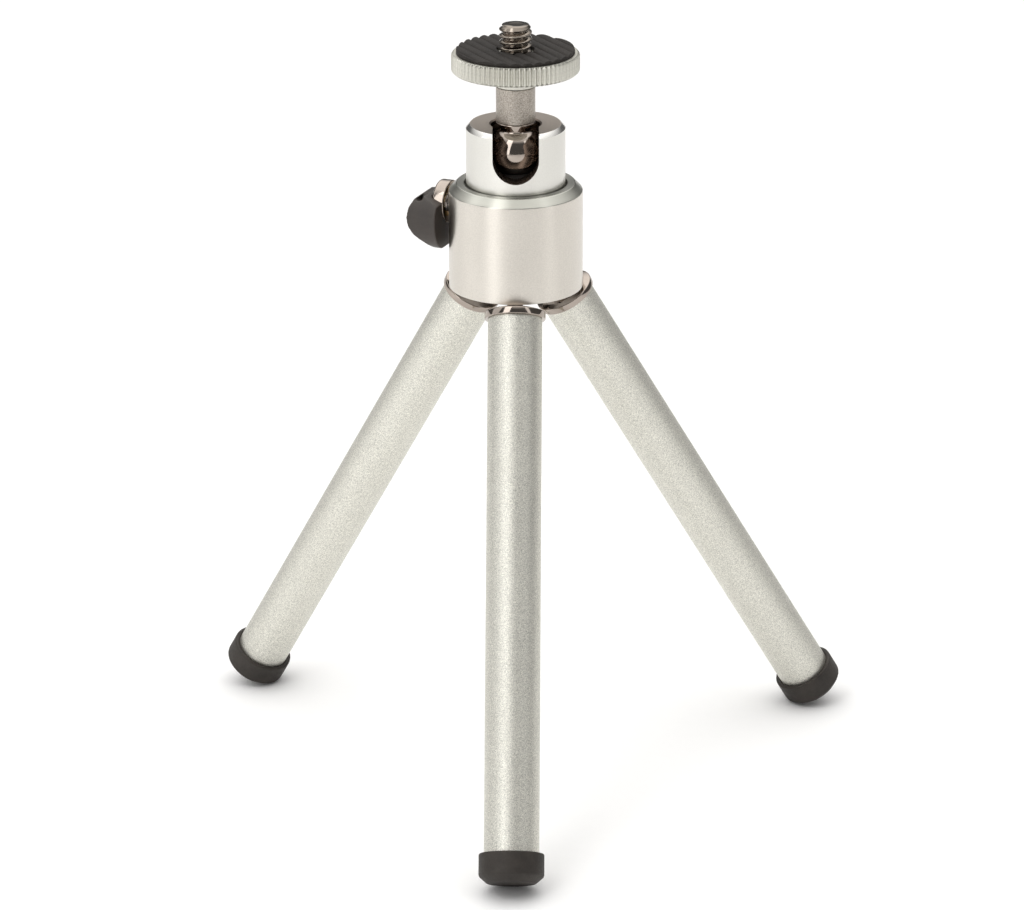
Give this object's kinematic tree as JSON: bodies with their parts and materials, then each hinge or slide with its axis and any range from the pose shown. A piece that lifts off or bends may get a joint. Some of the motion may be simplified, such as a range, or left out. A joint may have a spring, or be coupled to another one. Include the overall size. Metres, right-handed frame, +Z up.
{
  "type": "mini table tripod with ball head",
  "caption": "Mini table tripod with folding tube legs, a round clamp housing, a slotted ball head and a knurled, rubber-faced camera disc with a mounting screw.",
  "frame": {"origin": "on the tripod's upright axis, at the level of the surface that the feet stand on", "axes": "+Z up along the upright axis, which is the camera screw's axis at rest; -Y is the way the stem drops into the collar's slot, and the front leg stands near it; the clamp lever is on the -X side"},
  "size_m": [0.1269, 0.1168, 0.1513],
  "materials": {
    "housing_satin": "satin turned and anodised silver, brushed chamfer",
    "collar_satin": "bright satin anodised silver",
    "stem_blasted": "bead blasted grey",
    "disc_silver": "turned silver with a straight knurl",
    "leg_satin": "fine blasted silver",
    "nickel": "polished black nickel plate",
    "screw_plated": "nickel plated steel",
    "pin_steel": "ground steel",
    "plunger_brass": "turned brass",
    "nylon": "black nylon",
    "hub_metal": "machined aluminium",
    "grip_plastic": "black-brown moulded plastic",
    "rubber": "charcoal rubber"
  },
  "bodies": {
    "housing": {"housing_sleeve": "housing_satin", "leg_hub": "hub_metal", "pan_washer": "nylon", "clamp_bush": "plunger_brass", "clamp_plunger": "plunger_brass", "ball_seat": "nylon", "hinge_pin_front": "pin_steel", "hinge_pin_right": "pin_steel", "hinge_pin_left": "pin_steel"},
    "collar": {"socket_collar": "collar_satin"},
    "ball": {"pivot_ball": "nickel"},
    "stem": {"stem_sleeve": "stem_blasted", "camera_screw": "screw_plated"},
    "disc": {"knurled_disc": "disc_silver", "rubber_pad": "rubber"},
    "clamp": {"clamp_screw": "pin_steel", "clamp_head": "nickel", "clamp_grip": "grip_plastic", "grip_set_screw": "pin_steel"},
    "leg_front": {"leg_fitting_front": "nickel", "leg_tube_front": "leg_satin", "foot_cap_front": "rubber"},
    "leg_right": {"leg_fitting_right": "nickel", "leg_tube_right": "leg_satin", "foot_cap_right": "rubber"},
    "leg_left": {"leg_fitting_left": "nickel", "leg_tube_left": "leg_satin", "foot_cap_left": "rubber"}
  },
  "joints": [
    {"name": "leg_fold_front", "type": "hinge", "parent": "housing", "child": "leg_front", "pos_m": [-0.00012, -0.00735, 0.10125], "axis": [0.9999, -0.0157, 0], "range_deg": [0, 31]},
    {"name": "leg_fold_right", "type": "hinge", "parent": "housing", "child": "leg_right", "pos_m": [0.00671, 0.00299, 0.10125], "axis": [-0.4067, 0.9135, 0], "range_deg": [0, 31]},
    {"name": "leg_fold_left", "type": "hinge", "parent": "housing", "child": "leg_left", "pos_m": [-0.00601, 0.00424, 0.10125], "axis": [-0.5764, -0.8171, 0], "range_deg": [0, 31]},
    {"name": "head_pan", "type": "hinge", "parent": "housing", "child": "collar", "pos_m": [0, 0, 0.12625], "axis": [0, 0, 1], "continuous": true},
    {"name": "ball_tilt", "type": "hinge", "parent": "collar", "child": "ball", "pos_m": [0, 0, 0.12625], "axis": [1, 0, 0], "range_deg": [-9, 90]},
    {"name": "ball_spin", "type": "hinge", "parent": "ball", "child": "stem", "pos_m": [0, 0, 0.12625], "axis": [0, 0, 1], "continuous": true},
    {"name": "disc_turn", "type": "hinge", "parent": "stem", "child": "disc", "pos_m": [0, 0, 0.14415], "axis": [0, 0, 1], "continuous": true},
    {"name": "clamp_turn", "type": "hinge", "parent": "housing", "child": "clamp", "pos_m": [-0.01381, 0.00586, 0.11445], "axis": [-0.9205, 0.3907, 0], "range_deg": [0, 270]}
  ]
}
